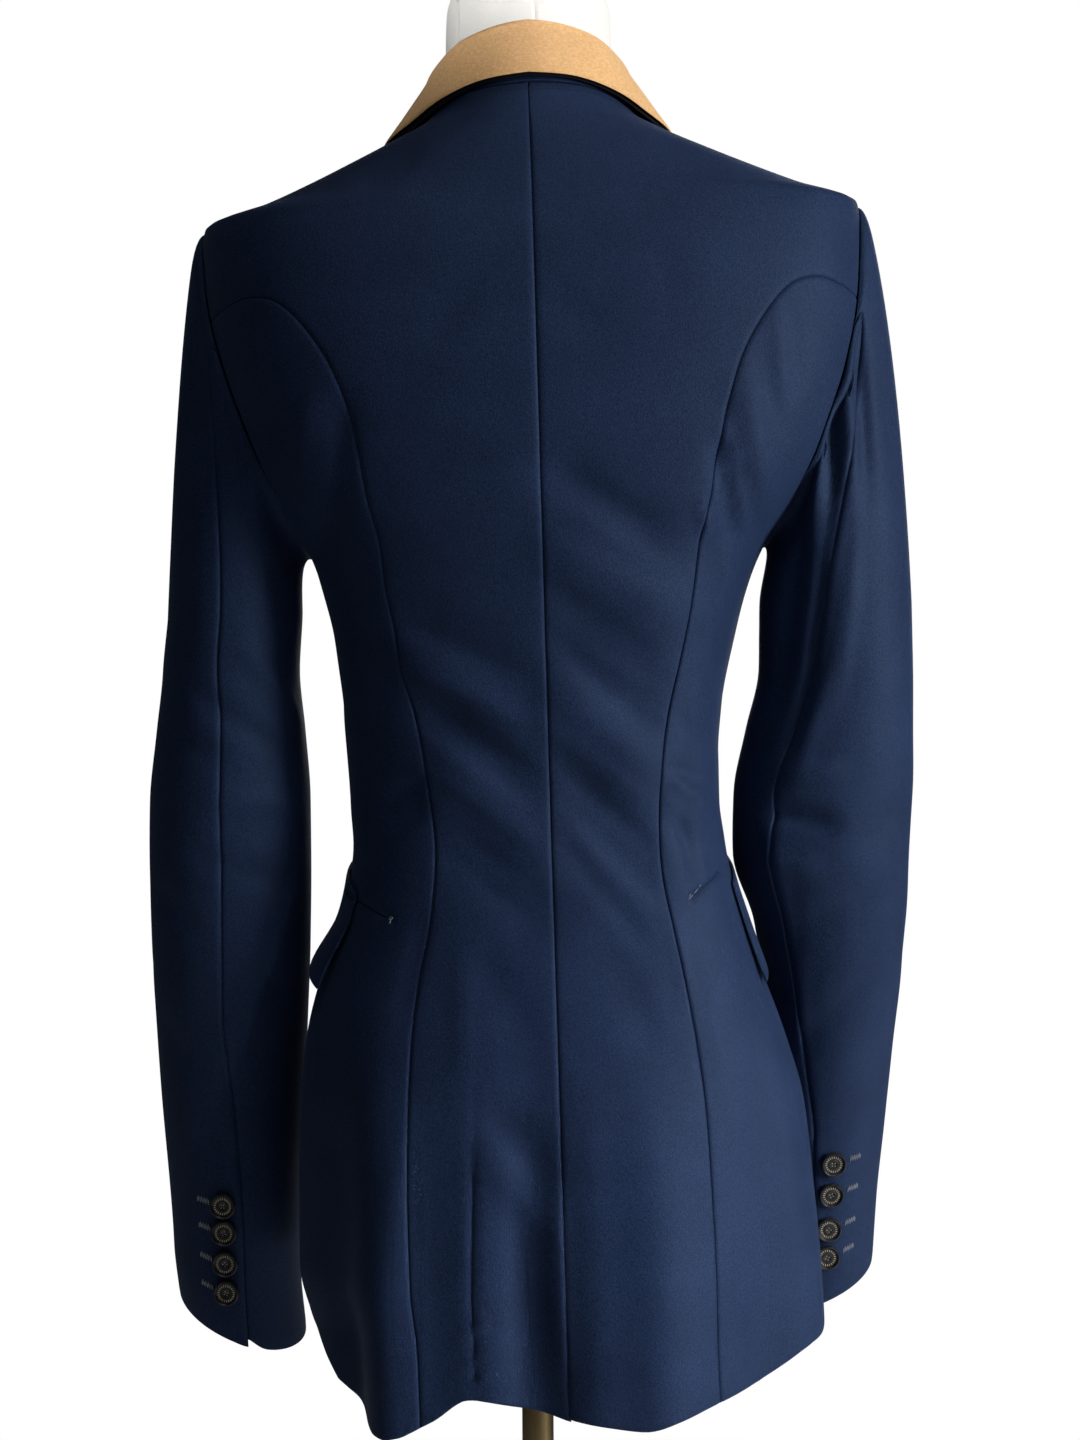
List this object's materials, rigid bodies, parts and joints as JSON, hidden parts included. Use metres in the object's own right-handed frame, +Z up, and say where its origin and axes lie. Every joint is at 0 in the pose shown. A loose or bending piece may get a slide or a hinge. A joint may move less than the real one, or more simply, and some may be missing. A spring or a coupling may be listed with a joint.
{
  "type": "equestrian show coat on a dress form",
  "caption": "Fitted cutaway riding jacket with a contrast collar, princess seams and buttoned cuffs, on a limbless form with a pole and a round base.",
  "frame": {"origin": "centre of the round base's underside, on the floor", "axes": "+Z up along the pole, -Y out of the coat's front, +X towards the wearer's left"},
  "size_m": [0.4404, 0.33, 1.4463],
  "materials": {
    "navy": "smooth stretch cloth with a soft sheen",
    "camel": "felted wool",
    "undercollar": "matt felt",
    "button": "dark plated, satin",
    "form_cloth": "plain off-white cover",
    "metal": "polished",
    "base": "satin powder coat"
  },
  "bodies": {
    "root": {"back_left": "navy", "back_right": "navy", "base": "base", "collar": "camel", "cuff_button_left_1": "button", "cuff_button_left_2": "button", "cuff_button_left_3": "button", "cuff_button_left_4": "button", "cuff_button_right_1": "button", "cuff_button_right_2": "button", "cuff_button_right_3": "button", "cuff_button_right_4": "button", "form_neck_cap": "form_cloth", "form_plate": "metal", "form_torso": "form_cloth", "front_button_1": "button", "front_button_2": "button", "front_button_3": "button", "front_left": "navy", "front_right": "navy", "lapel_left": "navy", "lapel_right": "navy", "pocket_flap_left": "navy", "pocket_flap_right": "navy", "pole": "metal", "pole_sleeve": "metal", "side_left": "navy", "side_right": "navy", "sleeve_top_left": "navy", "sleeve_top_right": "navy", "sleeve_under_left": "navy", "sleeve_under_right": "navy", "undercollar": "undercollar"}
  },
  "joints": []
}
